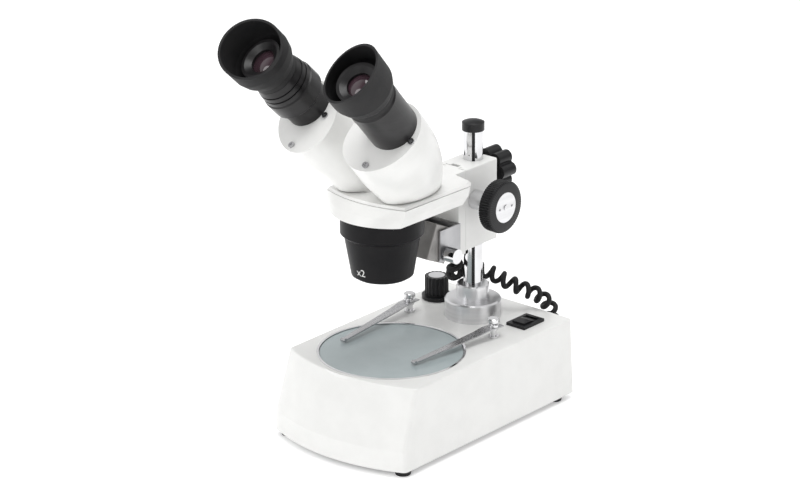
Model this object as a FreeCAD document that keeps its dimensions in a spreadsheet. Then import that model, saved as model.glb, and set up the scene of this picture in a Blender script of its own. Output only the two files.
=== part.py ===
import FreeCAD, Part
import math
import os
import re
import sys

import Sketcher

App = FreeCAD
V = App.Vector

# ---------------------------------------------------------------- driving dimensions
# Millimetres and degrees.  Heights named "..._up" count from the top face of the base,
# depths named "..._back" or "..._front" from the stage axis.
DIMS = {
    # where the stage axis stands in the part's frame, whose origin is the middle of the footprint
    "stage_y": -18.4,
    # base casting
    "foot_high": 4.0, "foot_rad": 6.0, "foot_side": 49.5, "foot_front": 46.5, "foot_back": 110.5,
    "base_high": 53.5, "base_wide": 110.0, "base_flare": 1.8, "base_draft": 1.5, "base_wall": 3.0,
    "base_front_top": 38.4, "base_front_low": 52.0, "base_bow": 12.8, "base_back": 120.5,
    "base_back_draft": 1.8, "band_high": 14.0, "base_corner": 2.5, "base_edge": 1.2,
    "cover_thick": 1.5, "cover_screw_rad": 2.6,
    # stage
    "plate_rad": 47.2, "plate_thick": 5.0, "ring_rad": 49.0, "ring_bore": 47.5, "ring_proud": 0.3,
    "window_rad": 44.0, "ledge_thick": 3.2, "clip_side": 36.5, "clip_back": 61.0,
    "post_rad": 2.3, "post_high": 13.5, "eye_up": 7.0, "clip_thick": 0.8, "clip_reach": 70.5,
    "clip_root_wide": 8.0, "clip_tip_wide": 3.6, "clip_roll": 1.3,
    "clip_left_turn": 2.5, "clip_right_turn": 7.5,
    # pillar and its foot
    "pillar_back": 84.1, "pillar_rad": 6.65, "pillar_up": 134.0, "flange_rad": 19.2, "flange_high": 12.9,
    "flange_chamfer": 1.0, "collar_rad": 11.0, "collar_high": 10.4, "stud_rad": 4.0, "stud_long": 15.0,
    "key_wide": 2.2, "key_deep": 1.3, "key_turn": 41.0, "cap_rad": 7.5, "cap_high": 7.2,
    # controls on the base
    "dimmer_side": 38.5, "dimmer_back": 92.0, "dimmer_rad": 8.2, "dimmer_skirt": 10.2, "dimmer_high": 16.0,
    "dimmer_gap": 0.6, "dimmer_disc": 5.6, "switch_side": 37.2, "switch_back": 94.0, "switch_wide": 15.4,
    "switch_long": 21.4, "switch_proud": 2.0, "rocker_wide": 10.0, "rocker_half": 7.6, "rocker_tilt": 8.0,
    "inlet_wide": 27.0, "inlet_high": 20.0, "inlet_deep": 16.0, "inlet_side": -24.0,
    # focus block, shaft and slide
    "block_half": 12.0, "seam_back": 62.0, "block_back": 95.5, "block_low": 55.0, "block_up": 111.0,
    "block_round": 2.0, "shaft_back": 71.3, "shaft_up": 88.4, "shaft_rad": 4.0, "run_gap": 0.05,
    "gear_module": 0.75, "gear_teeth": 14, "gear_wide": 6.0, "hub_rad": 6.5, "knob_rad": 17.6,
    "knob_thick": 9.2, "knob_face": 38.0, "disc_rad": 10.2, "clamp_up": 99.0, "clamp_rad": 14.5,
    "clamp_thick": 13.0, "screw_rad": 3.0, "slide_thick": 7.3, "slide_low": 53.0, "slide_gap": 0.2,
    "tongue_deep": 2.6, "tongue_neck": 5.5, "tongue_wide": 7.2, "rack_wide": 6.0,
    # head
    "head_low": 98.8, "head_seam": 110.7, "seam_gap": 0.4, "cover_up": 112.7, "head_half": 34.7,
    "head_front": 30.5, "head_corner": 23.5,
    "head_rear": 47.8, "neck_half": 12.0, "turret_front": 8.0, "turret_rad": 27.3,
    "turret_low": 55.5, "turret_step": 83.5, "cone_top": 24.8, "cone_low": 20.3, "cup_wall": 2.2,
    "journal_rad": 15.0, "objective_off": 12.0, "objective_rad": 5.6,
    # upper lamp
    "lamp_tilt": 24.0, "lamp_pivot_back": 40.0, "lamp_pivot_up": 59.5, "lamp_half": 11.6, "lamp_deep": 19.5,
    "lamp_long": 24.0, "lamp_wall": 1.0, "ear_gap": 12.2, "ear_thick": 1.4, "lamp_knob_rad": 5.0,
    # prism housings and eyepieces
    "pod_gap": 0.5, "splay": 8.2, "incline": 45.0, "face_side": 35.0, "face_front": 37.2, "face_up": 170.6,
    "pod_major": 27.5, "pod_minor": 22.5, "pod_roll": 38.0, "pod_off_side": 4.7, "pod_off_down": 7.5,
    "end_thick": 2.5, "foot_x": 15.8, "foot_y": 2.5, "foot_half_wide": 14.4, "foot_half_long": 28.0,
    "swivel_rad": 9.0, "swivel_deep": 7.0, "tube_rad": 16.3, "tube_bore": 15.3, "tube_long": 27.0,
    "left_tube_rad": 15.6, "left_tube_bore": 14.8, "left_tube_long": 20.0, "lens_rad": 8.0,
    "diopter_rad": 18.2, "diopter_low": 12.5, "diopter_high": 25.0, "cup_thick": 1.6,
    # curly cord between the focus block and the gland at the back of the base
    "coil_rad": 5.7, "relief_side": 6.5, "relief_back": 72.8, "relief_low": 45.6, "gland_side": 32.0,
    "gland_deep": 17.0, "gland_off": 9.5,
}

doc = App.newDocument("stereo_microscope")
sheet = doc.addObject("Spreadsheet::Sheet", "dims")
for row, (alias, value) in enumerate(DIMS.items(), start=1):
    sheet.set("A%d" % row, alias)
    sheet.set("B%d" % row, str(value))
    sheet.setAlias("B%d" % row, alias)
doc.recompute()

PARTS = []


def n(alias):
    """A driving dimension read back from the sheet."""
    return float(sheet.get(alias))


def linked(text):
    """The text as an expression: every dimension's name gets the sheet's name in front."""
    return re.sub(r"[a-z_]+", lambda m: "dims." + m.group() if m.group() in DIMS else m.group(), str(text))


def bind(obj, **props):
    for prop, text in props.items():
        obj.setExpression(prop.replace("__", "."), linked(text))


def place(obj, x="0", y="0", z="0", axis=None, turn=0.0):
    """Turn the object about an axis and bind where its origin goes."""
    obj.Placement = App.Placement(V(), App.Rotation(axis or V(0, 0, 1), turn))
    bind(obj, Placement__Base__x=x, Placement__Base__y=y, Placement__Base__z=z)
    return obj


def part(obj, label, x="0", y="0", z="0", axis=None, turn=0.0):
    """Name a finished sub-part and put it in its place."""
    obj.Label = label
    if x is not None:
        place(obj, x, y, z, axis, turn)
    PARTS.append(obj)
    return obj


def box(wide, deep, high, x="0", y="0", z="0"):
    """A box centred on x and y that stands on z."""
    obj = doc.addObject("Part::Box", "Box")
    bind(obj, Length=wide, Width=deep, Height=high)
    return place(obj, "%s - (%s) / 2" % (x, wide), "%s - (%s) / 2" % (y, deep), z)


def rod(rad, high, x="0", y="0", z="0", axis=None, turn=0.0):
    obj = doc.addObject("Part::Cylinder", "Rod")
    bind(obj, Radius=rad, Height=high)
    return place(obj, x, y, z, axis, turn)


def cone(low, top, high, z="0", x="0", y="0"):
    obj = doc.addObject("Part::Cone", "Cone")
    bind(obj, Radius1=low, Radius2=top, Height=high)
    return place(obj, x, y, z)


def x_rod(rad, high, x="0", y="0", z="0"):
    """A cylinder that runs along +X from x."""
    return rod(rad, high, x, y, z, V(0, 1, 0), 90)


def y_rod(rad, high, x="0", y="0", z="0"):
    """A cylinder that runs along +Y from y."""
    return rod(rad, high, x, y, z, V(1, 0, 0), -90)


def fuse(*shapes):
    if len(shapes) == 1:
        return group(*shapes)
    obj = doc.addObject("Part::MultiFuse", "Fuse")
    obj.Shapes = list(shapes)
    obj.Refine = True
    return obj


def cut(base, *tools):
    obj = doc.addObject("Part::Cut", "Cut")
    obj.Base = base
    obj.Tool = tools[0] if len(tools) == 1 else fuse(*tools)
    return obj


def common(base, tool):
    obj = doc.addObject("Part::Common", "Common")
    obj.Base, obj.Tool = base, tool
    return obj


def group(*shapes):
    obj = doc.addObject("Part::Compound", "Group")
    obj.Links = list(shapes)
    return obj


def feature(name, shape):
    obj = doc.addObject("Part::Feature", name)
    obj.Shape = shape
    return obj


def mirrored(source):
    """The same piece on the other side of the plane x = 0."""
    obj = doc.addObject("Part::Mirroring", "Mirror")
    obj.Source = source
    obj.Normal = V(1, 0, 0)
    return obj


def turned(*steps):
    """Stacked discs and cones on +Z: each step is (height, lower radius, upper radius)."""
    pieces, at = [], "0"
    for high, low, top in steps:
        pieces.append(rod(low, high, z=at) if low == top else cone(low, top, high, z=at))
        at = "%s + %s" % (at, high)
    return fuse(*pieces)


def loft(*wires, ruled=True):
    obj = doc.addObject("Part::Loft", "Loft")
    obj.Sections = [feature("Section", w) for w in wires]
    obj.Solid, obj.Ruled = True, ruled
    return obj


def prism(points, along):
    """A polygon swept straight along a vector."""
    face = Part.Face(Part.makePolygon([V(*p) for p in points + points[:1]]))
    return face.extrude(V(*along))


def arc(a, b, c):
    return Part.Arc(V(*a), V(*b), V(*c)).toShape()


def line(a, b):
    return Part.makeLine(V(*a), V(*b))


def round_edges(source, rad, picked):
    """A fillet on every edge of the source that the test picks."""
    doc.recompute()
    obj = doc.addObject("Part::Fillet", "Fillet")
    obj.Base = source
    obj.Edges = [(i, rad, rad) for i, e in enumerate(source.Shape.Edges, start=1) if picked(e)]
    doc.recompute()
    if obj.Shape.isNull() or not obj.Shape.isValid():
        raise RuntimeError("fillet failed on " + source.Name)
    return obj


def new_body(name):
    return doc.addObject("PartDesign::Body", name)


def sketch_on(body, name, role="XY_Plane", lift="0"):
    sk = body.newObject("Sketcher::SketchObject", name)
    plane = [f for f in body.Origin.OriginFeatures if f.Role == role][0]
    sk.AttachmentSupport = (plane, [""])
    sk.MapMode = "FlatFace"
    bind(sk, AttachmentOffset__Base__z=lift)
    return sk


def ring_on(sk, rad, x="0", y="0"):
    """A circle in a sketch, its radius and centre bound to the sheet."""
    index = sk.addGeometry(Part.Circle(V(1, 1, 0), V(0, 0, 1), 5.0), False)
    for kind, args, text in (("Radius", (index,), rad), ("DistanceX", (-1, 1, index, 3), x),
                             ("DistanceY", (-1, 1, index, 3), y)):
        number = sk.addConstraint(Sketcher.Constraint(kind, *args, 5.0))
        sk.setExpression("Constraints[%d]" % number, linked(text))
    return index


def pad(body, sk, high):
    obj = body.newObject("PartDesign::Pad", "Pad")
    obj.Profile = sk
    bind(obj, Length=high)
    return obj


def pocket(body, sk, deep, backwards=False):
    obj = body.newObject("PartDesign::Pocket", "Pocket")
    obj.Profile = sk
    obj.Reversed = backwards
    bind(obj, Length=deep)
    return obj


def polar(body, source, count):
    obj = body.newObject("PartDesign::PolarPattern", "Pattern")
    obj.Originals = [source]
    obj.Axis = ([f for f in body.Origin.OriginFeatures if f.Role == "Z_Axis"][0], [""])
    obj.Angle = 360
    obj.Occurrences = count
    body.Tip = obj
    return obj


# ---------------------------------------------------------------- base
TOP = "foot_high + base_high"
PILLAR_Y = "stage_y + pillar_back"


def base_outline(up, inset=0.0):
    """The casting's outline at a height above the foot line: bowed front, straight sides."""
    rise = up / n("base_high")
    lean = max(0.0, (up - n("band_high")) / (n("base_high") - n("band_high")))
    front = n("base_front_low") + (n("base_front_top") - n("base_front_low")) * lean - inset
    half = n("base_wide") / 2 + n("base_draft") * (1 - rise) - inset
    half_back = half + n("base_flare") / 2
    back = n("base_back") + n("base_back_draft") * (1 - rise) - inset
    y, z = n("stage_y"), n("foot_high") + up
    nose, tail = V(0, y - front - n("base_bow"), z), V(0, y + back + 1.0, z)
    left, right = V(-half, y - front, z), V(half, y - front, z)
    rear_right, rear_left = V(half_back, y + back, z), V(-half_back, y + back, z)
    soft = n("base_corner")
    front_arc = shortened(Part.Arc(left, nose, right).toShape(), soft)
    rear_arc = shortened(Part.Arc(rear_right, tail, rear_left).toShape(), soft)
    side_right = shortened(Part.makeLine(right, rear_right), soft)
    side_left = shortened(Part.makeLine(rear_left, left), soft)
    ring = (front_arc, side_right, rear_arc, side_left)
    edges = []
    for edge, after, tip in zip(ring, ring[1:] + ring[:1], (right, rear_right, rear_left, left)):
        edges += [edge, soft_corner(edge.lastVertex().Point, tip, after.firstVertex().Point)]
    return Part.Wire(edges)


def shortened(edge, back):
    """The same arc or line with a length taken off both its ends."""
    a, m, b = (edge.valueAt(edge.getParameterByLength(at))
               for at in (back, edge.Length / 2, edge.Length - back))
    if edge.Curve.TypeId == "Part::GeomLine":
        return Part.makeLine(a, b)
    return Part.Arc(a, m, b).toShape()


def soft_corner(a, tip, b):
    curve = Part.BezierCurve()
    curve.setPoles([a, tip, b])
    return curve.toShape()


def base_shell():
    high, wall = n("base_high"), n("base_wall")
    skin = loft(base_outline(0), base_outline(n("band_high")), base_outline(high))
    top = n("foot_high") + high
    smooth = round_edges(skin, n("base_edge"), lambda e: e.BoundBox.ZMin > top - 0.01)
    hollow = loft(base_outline(0, wall), base_outline(n("band_high"), wall), base_outline(high - wall, wall))
    rim = rod("ring_rad + 3", "plate_thick + ledge_thick", "0", "stage_y",
              TOP + " - plate_thick - ledge_thick")
    shell = fuse(cut(smooth, hollow), rim)
    low = TOP + " - 20"
    tools = (
        rod("window_rad", "30", "0", "stage_y", low),
        rod("ring_rad", "20", "0", "stage_y", TOP + " - plate_thick - ring_proud"),
        rod("stud_rad", "40", "0", PILLAR_Y, low),
        rod("3.6", "40", "-dimmer_side", "stage_y + dimmer_back", low),
        box("switch_wide - 2.2", "switch_long - 2.2", "40", "switch_side", "stage_y + switch_back", low),
        rod("post_rad", "40", "-clip_side", "stage_y + clip_back", low),
        rod("post_rad", "40", "clip_side", "stage_y + clip_back", low),
        box("inlet_wide - 3", "20", "inlet_high - 3", "inlet_side", "stage_y + base_back",
            "foot_high + 14.5"),
        y_rod("4", "20", "gland_side", "stage_y + base_back - 10", TOP + " - gland_deep"),
    )
    part(cut(shell, *tools), "base_shell")


def base_cover():
    outline = base_outline(0, n("base_wall") + 0.2)
    slab = feature("CoverSlab", Part.Face(outline).extrude(V(0, 0, n("cover_thick"))))
    vents = [rod("2", "10", "%d" % x, "stage_y + 20", "foot_high - 5") for x in range(-20, 21, 10)]
    part(cut(slab, *vents), "base_cover", None)
    screws = []
    for x in ("-(base_wide / 2 - 9)", "base_wide / 2 - 9"):
        for y in ("-28", "30", "98"):
            screws.append(rod("cover_screw_rad", "0.9", x, y, "-0.9"))
    part(group(*screws), "cover_screws", "0", "stage_y", "foot_high")
    feet = []
    for x in ("-foot_side", "foot_side"):
        for y in ("-foot_front", "foot_back"):
            feet.append(cone("foot_rad - 1", "foot_rad", "foot_high", x=x, y=y))
    part(group(*feet), "rubber_feet", "0", "stage_y")


def stage():
    seat = TOP + " - plate_thick - ring_proud"
    part(rod("plate_rad", "plate_thick"), "stage_plate", "0", "stage_y", seat)
    ring = cut(rod("ring_rad", "plate_thick + 2 * ring_proud"), rod("ring_bore", "20", z="-5"))
    part(ring, "stage_ring", "0", "stage_y", seat)
    posts = []
    for x in ("-clip_side", "clip_side"):
        shaft = rod("post_rad", "post_high + 8", z="-8")
        foot = rod("3.7", "1.4")
        lower = rod("3.3", "1.4", z="eye_up - 1.5")
        upper = rod("3.8", "1.4", z="eye_up + clip_thick + 0.1")
        knob = turned(("0.5", "3.4", "3.9"), ("2.2", "3.9", "3.9"), ("0.5", "3.9", "3.3"))
        place(knob, "0", "0", "post_high - 3.2")
        post = fuse(shaft, foot, lower, upper, knob)
        posts.append(place(post, x, "0", "0"))
    part(group(*posts), "clip_posts", "0", "stage_y + clip_back", TOP)


def clip(label, side, turn):
    """A tapered spring strip that leaves the post level and slopes down to a rolled tip."""
    reach, thick, eye = n("clip_reach"), n("clip_thick"), n("eye_up")
    tip_z = n("clip_roll") + 0.15
    top = [(6.0, eye + thick), (-7.0, eye + thick), (-16.0, eye + thick - 1.3), (-reach, tip_z + thick)]
    low = [(-reach, tip_z), (-16.0, eye - 1.3), (-7.0, eye), (6.0, eye)]
    strip = prism([(-8, y, z) for y, z in top + low], (16, 0, 0))
    root, tip = n("clip_root_wide") / 2, n("clip_tip_wide") / 2
    plan = prism([(-root, 6, 0), (root, 6, 0), (root, -6, 0), (tip, -reach, 0), (-tip, -reach, 0),
                  (-root, -6, 0)], (0, 0, 15))
    blade = common(feature("Strip", strip), feature("Plan", plan))
    roll = x_rod("clip_roll", "clip_tip_wide", "-clip_tip_wide / 2", "-clip_reach", "clip_roll + 0.15 + 0.3")
    solid = cut(fuse(blade, roll), rod("post_rad + 0.05", "20"))
    part(solid, label, "%s * clip_side" % side, "stage_y + clip_back", TOP, V(0, 0, 1), turn)


def pillar():
    groove = feature("Groove", Part.makeBox(
        n("key_deep") * 2, n("key_wide"), 200, V(n("pillar_rad") - n("key_deep"), -n("key_wide") / 2, 0)))
    place(groove, z="0", axis=V(0, 0, 1), turn=n("key_turn") - 90)
    shaft = fuse(rod("pillar_rad", "pillar_up"), rod("stud_rad", "stud_long", z="-stud_long"))
    part(cut(shaft, groove), "pillar", "0", PILLAR_Y, TOP)
    flange = turned(("flange_high - flange_chamfer", "flange_rad", "flange_rad"),
                    ("flange_chamfer", "flange_rad", "flange_rad - flange_chamfer"))
    part(cut(flange, rod("pillar_rad", "50", z="-10")), "pillar_flange", "0", PILLAR_Y, TOP)
    collar = turned(("collar_high - 0.8", "collar_rad", "collar_rad"),
                    ("0.8", "collar_rad", "collar_rad - 0.8"))
    part(cut(collar, rod("pillar_rad", "50", z="-10")), "pillar_collar", "0", PILLAR_Y,
         TOP + " + flange_high")
    nut = doc.addObject("Part::Prism", "Hexagon")
    nut.Polygon = 6
    bind(nut, Circumradius="8", Height="6.5")
    ringed = cut(fuse(nut, rod("11", "1.5", z="6.5")), rod("stud_rad", "50", z="-10"))
    part(ringed, "pillar_nut", "0", PILLAR_Y, TOP + " - base_wall - 8")
    ball = doc.addObject("Part::Sphere", "Dome")
    bind(ball, Radius="cap_rad * 2.2")
    place(ball, z="cap_high - cap_rad * 2.2")
    dome = common(rod("cap_rad", "cap_high"), ball)
    part(cut(dome, rod("pillar_rad", "3")), "pillar_cap", "0", PILLAR_Y, TOP + " + pillar_up - 3")


def dimmer():
    body = new_body("DimmerBody")
    skirt = sketch_on(body, "Skirt")
    ring_on(skirt, "dimmer_skirt")
    pad(body, skirt, "2.4")
    grip = sketch_on(body, "Grip", lift="2.4")
    ring_on(grip, "dimmer_rad")
    pad(body, grip, "dimmer_high - 2.4")
    flute = sketch_on(body, "Flute", lift="dimmer_high")
    ring_on(flute, "1.3", "dimmer_rad + 0.6", "0")
    groove = pocket(body, flute, "dimmer_high - 3.6")
    polar(body, groove, 18)
    seat = sketch_on(body, "Seat", lift="dimmer_high")
    ring_on(seat, "dimmer_disc")
    pocket(body, seat, "0.6")
    bore = sketch_on(body, "Bore", lift="10")
    ring_on(bore, "3")
    pocket(body, bore, "10")
    part(body, "dimmer_knob", "-dimmer_side", "stage_y + dimmer_back", TOP + " + dimmer_gap")
    part(rod("dimmer_disc", "0.8"), "dimmer_cap", "-dimmer_side", "stage_y + dimmer_back",
         TOP + " + dimmer_gap + dimmer_high - 0.6")
    pot = fuse(rod("8", "9", z="-12"), rod("3.6", "3.2", z="-3.2"), rod("2.95", "9.9"))
    part(pot, "dimmer_pot", "-dimmer_side", "stage_y + dimmer_back", TOP)


def switch():
    y = "stage_y + switch_back"
    frame = fuse(box("switch_wide", "switch_long", "switch_proud"),
                 box("switch_wide - 2.4", "switch_long - 2.4", "14", z="-14"))
    window = box("rocker_wide + 0.6", "2 * rocker_half + 0.9", "switch_proud + 9", z="-9")
    bearing = x_rod("0.95", "rocker_wide + 2.2", "-rocker_wide / 2 - 1.1", "0", "0.6")
    part(cut(frame, window, bearing), "switch_bezel", "switch_side", y, TOP)
    wide, half = n("rocker_wide"), n("rocker_half")
    side = [(-half, -2.0), (-half, 1.4), (0.0, 2.4), (half, 1.4), (half, -2.0), (0.0, -5.5)]
    paddle = prism([(-wide / 2, a, b) for a, b in side], (wide, 0, 0))
    pin = x_rod("0.9", "rocker_wide + 2", "-rocker_wide / 2 - 1")
    part(fuse(feature("Paddle", paddle), pin), "rocker", "switch_side", y, TOP + " + 0.6", V(1, 0, 0),
         -n("rocker_tilt"))


def inside_base():
    y = "stage_y + base_back + 1.6"
    inlet = cut(fuse(box("inlet_wide - 3", "inlet_deep", "inlet_high - 3", y="-inlet_deep / 2"),
                     box("inlet_wide", "2.2", "inlet_high", y="1.1 + 0.8", z="-1.5")),
                box("inlet_wide - 8", "11", "inlet_high - 9", y="-2", z="3"))
    pins = [box("2", "7", "4", x, "-6.4", "5.5") for x in ("-7", "0", "7")]
    part(fuse(inlet, *pins), "power_inlet", "inlet_side", y, "foot_high + 14.5")
    part(fuse(box("40", "34", "6"), box("30", "24", "26", z="6")), "transformer", "-14", "stage_y + 86",
         "foot_high + cover_thick")
    part(fuse(rod("24", "3"), rod("18", "2", z="3"), rod("4", "6", "0", "0", "-6")), "base_lamp",
         "0", "stage_y", "foot_high + cover_thick + 6")
    gland = fuse(y_rod("6.2", "2.0", y="1.5"), y_rod("3.95", "12", y="-6"), y_rod("4.6", "6", y="2.4"),
                 rod("coil_rad", "10", "0", "gland_off", "-5"))
    part(gland, "cord_gland", "gland_side", "stage_y + base_back", TOP + " - gland_deep")


# ---------------------------------------------------------------- focus block and its drive
def gear_outline(teeth, module, at):
    """A spur pinion's outline: straight-sided teeth a little thinner than their gaps."""
    pitch = teeth * module / 2
    rim, root = pitch + 0.8 * module, pitch - 1.15 * module
    points = []
    for i in range(int(teeth)):
        mid = 2 * math.pi * i / teeth
        for off, rad in ((-0.155, root), (-0.055, rim), (0.055, rim), (0.155, root)):
            angle = mid + off * 2 * math.pi / teeth * 1.45
            points.append((at, rad * math.cos(angle), rad * math.sin(angle)))
    return points


def focus_block():
    deep = n("block_back") - n("seam_back")
    body = box("2 * block_half", "block_back - seam_back", "block_up - block_low", "0",
               "(seam_back + block_back) / 2", "block_low")
    soft = round_edges(body, n("block_round"),
                       lambda e: e.BoundBox.ZLength > 5 and e.BoundBox.YMin > deep + 30)
    shell = round_edges(soft, 1.0, lambda e: e.BoundBox.ZMin > n("block_up") - 0.01 and e.BoundBox.YMin > 63)
    gap = n("run_gap")
    neck, wide, deep_t = n("tongue_neck") + gap, n("tongue_wide") + gap, n("tongue_deep")
    front = n("seam_back")
    low, high = n("block_low"), n("block_up")
    groove = prism([(-neck, front - 1, low - 1), (-neck, front, low - 1), (-wide, front + deep_t, low - 1),
                    (wide, front + deep_t, low - 1), (neck, front, low - 1), (neck, front - 1, low - 1)],
                   (0, 0, high - low + 2))
    tools = (
        rod("pillar_rad + run_gap", "200", "0", "pillar_back", "0"),
        feature("Groove", groove),
        box("rack_wide + 0.8", "4", "200", "0", "seam_back + 3.4", "0"),
        x_rod("shaft_rad + run_gap", "60", "-30", "shaft_back", "shaft_up"),
        x_rod("gear_module * (gear_teeth / 2 + 1) + 0.5", "gear_wide + 1", "-gear_wide / 2 - 0.5",
              "shaft_back", "shaft_up"),
        y_rod("screw_rad + run_gap", "20", "0", "pillar_back", "clamp_up"),
    )
    key_corner = V(n("pillar_rad") - n("key_deep") + 0.35, -n("key_wide") / 2 + 0.15, 0)
    key = feature("Key", Part.makeBox(n("key_deep") + 1.2, n("key_wide") - 0.3, 30, key_corner))
    place(key, "0", "pillar_back", "block_low + 2", V(0, 0, 1), n("key_turn") - 90)
    part(fuse(cut(shell, *tools), key), "focus_block", "0", "stage_y", TOP)


def focus_drive():
    gap = n("slide_gap")
    teeth, module, gear = n("gear_teeth"), n("gear_module"), n("gear_wide")
    pinion = feature("Pinion", prism(gear_outline(teeth, module, -gear / 2), (gear, 0, 0)))
    shaft = fuse(x_rod("shaft_rad", "2 * knob_face - 4", "-knob_face + 2"), pinion)
    part(shaft, "focus_shaft", "0", "stage_y + shaft_back", TOP + " + shaft_up")
    body = new_body("FocusKnob")
    rim = sketch_on(body, "Rim")
    ring_on(rim, "knob_rad")
    pad(body, rim, "knob_thick")
    flat = sketch_on(body, "Flat", lift="knob_thick - 1.4")
    ring_on(flat, "3.2", "knob_rad + 2.75", "0")
    dent = pocket(body, flat, "knob_thick")
    polar(body, dent, 30)
    well = sketch_on(body, "Well", lift="knob_thick")
    ring_on(well, "disc_rad")
    pocket(body, well, "1.0")
    bore = sketch_on(body, "Bore", lift="knob_thick")
    ring_on(bore, "hub_rad")
    pocket(body, bore, "knob_thick")
    right = place(fuse(body), "knob_face - knob_thick", "0", "0", V(0, 1, 0), 90)
    part(group(right, mirrored(right)), "focus_knobs", "0", "stage_y + shaft_back", TOP + " + shaft_up")
    start = "block_half + 0.3"
    hub = fuse(x_rod("hub_rad", "knob_face - block_half - 1.3", start),
               x_rod("disc_rad", "1.2", "knob_face - 1.0"))
    holes = (x_rod("shaft_rad", "knob_face - block_half - 2.3", start),
             x_rod("0.9", "3", "knob_face - 0.6", "6.2"), x_rod("0.9", "3", "knob_face - 0.6", "-6.2"))
    disc = cut(fuse(hub, x_rod("2", "0.7", "knob_face + 0.2")), *holes)
    part(group(disc, mirrored(disc)), "knob_hubs", "0", "stage_y + shaft_back", TOP + " + shaft_up")
    # the moving slide in front of the seam, with its dovetail tongue
    front, back = n("seam_back") - gap - n("slide_thick"), n("seam_back") - gap
    low, high = n("slide_low"), n("head_seam")
    slide = box("2 * block_half", "slide_thick", "head_seam - slide_low", "0",
                "seam_back - slide_gap - slide_thick / 2", "slide_low")
    neck, deep = n("tongue_neck"), n("tongue_deep")
    wide = neck + (n("tongue_wide") - neck) * (deep - gap) / deep
    tongue = prism([(-neck, back - 1, low), (-neck, back + gap, low), (-wide, back + deep, low),
                    (wide, back + deep, low), (neck, back + gap, low), (neck, back - 1, low)],
                    (0, 0, high - low))
    part(fuse(slide, feature("Tongue", tongue)), "head_slide", "0", "stage_y", TOP)
    # rack: its teeth straddle the pinion's at rest
    pitch_line = n("shaft_back") - teeth * module / 2
    step = math.pi * module
    root, crest = pitch_line - 0.8 * module, pitch_line + 0.75 * module
    count = int((high - low - 4) / step)
    first = n("shaft_up") + step / 2 - step * int((n("shaft_up") - low - 2) / step)
    outline = [(back + deep, first - step / 2), (root, first - step / 2)]
    for i in range(count):
        mid = first + i * step
        outline += [(root, mid - 0.33 * step), (crest, mid - 0.13 * step), (crest, mid + 0.13 * step),
                    (root, mid + 0.33 * step)]
    outline += [(root, first + (count - 0.5) * step), (back + deep, first + (count - 0.5) * step)]
    rack = prism([(-n("rack_wide") / 2, y, z) for y, z in outline], (n("rack_wide"), 0, 0))
    part(feature("Rack", rack), "focus_rack", "0", "stage_y", TOP)


def clamp():
    body = new_body("ClampBody")
    core = sketch_on(body, "Core")
    ring_on(core, "clamp_rad - 3")
    pad(body, core, "clamp_thick")
    lobe = sketch_on(body, "Lobe")
    ring_on(lobe, "4.6", "clamp_rad - 4.6", "0")
    polar(body, pad(body, lobe, "clamp_thick"), 7)
    bore = sketch_on(body, "Bore", lift="clamp_thick - 2")
    ring_on(bore, "screw_rad")
    pocket(body, bore, "clamp_thick")
    knob = fuse(body, cut(rod("6", "2.5", z="-2.5"), rod("screw_rad", "5", z="-4")))
    part(knob, "clamp_knob", "0", "stage_y + block_back + 3.5", TOP + " + clamp_up", V(1, 0, 0), -90)
    start = "pillar_rad + 0.1"
    screw = y_rod("screw_rad", "block_back - pillar_back + 3.5 + clamp_thick - 2 - (%s)" % start, y=start)
    part(group(screw), "clamp_screw", "0", PILLAR_Y, TOP + " + clamp_up")


# ---------------------------------------------------------------- head, turret and upper lamp
def head_outline(up, half, corner, front, nose):
    """The head's outline at one height: bowed nose, near-parallel sides, clipped rear corners."""
    wide, rear = n("head_half") - half, n("head_rear") - half
    left, right = (-wide + 1.2, -corner, up), (wide - 1.2, -corner, up)
    side_r, side_l = (wide, rear - 9, up), (-wide, rear - 9, up)
    clip_r, clip_l = (wide - 4, rear - 3, up), (4 - wide, rear - 3, up)
    rear_r, rear_l = (wide - 17, rear, up), (17 - wide, rear, up)
    edges = [arc(left, (0, -front - nose, up), right), line(right, side_r), line(side_r, clip_r),
             line(clip_r, rear_r), line(rear_r, rear_l), line(rear_l, clip_l), line(clip_l, side_l),
             line(side_l, left)]
    return Part.Wire(edges)


def head():
    low, seam, top = n("head_low"), n("head_seam"), n("cover_up")
    corner, front = n("head_corner"), n("head_front")
    casting = loft(head_outline(low, 3.2, corner + 1.5, front, 8.0), head_outline(low + 6, 0.8, corner + 0.6,
                   front, 4.5), head_outline(seam, 0, corner, front, 0))
    neck = box("2 * neck_half", "seam_back - slide_gap - slide_thick - head_rear + 4",
               "head_seam - head_low", "0",
               "(head_rear - 4 + seam_back - slide_gap - slide_thick) / 2", "head_low")
    swivels = [rod("swivel_rad + run_gap", "30", x, "-turret_front", "cover_up - swivel_deep - 0.2")
               for x in ("-objective_off", "objective_off")]
    lights = [rod("objective_rad", "60", x, "-turret_front", "head_low - 5")
              for x in ("-objective_off", "objective_off")]
    journal = rod("journal_rad + run_gap", "4.1", "0", "-turret_front", "head_low")
    part(cut(fuse(casting, neck), journal, *lights, *swivels), "head_plate", "0", "stage_y", TOP)
    gap = seam + n("seam_gap")
    spacer = loft(head_outline(seam, 2.0, corner - 1.6, front - 1.6, 0),
                  head_outline(gap, 2.0, corner - 1.6, front - 1.6, 0))
    lid = loft(head_outline(gap, 0.2, corner, front, 0), head_outline(top, 1.4, corner - 0.8, front - 1.2, 0))
    openings = [rod("swivel_rad + run_gap", "30", x, "-turret_front", "head_seam - 1")
                for x in ("-objective_off", "objective_off")]
    part(cut(fuse(lid, spacer), *openings), "head_cover", "0", "stage_y", TOP)


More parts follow.
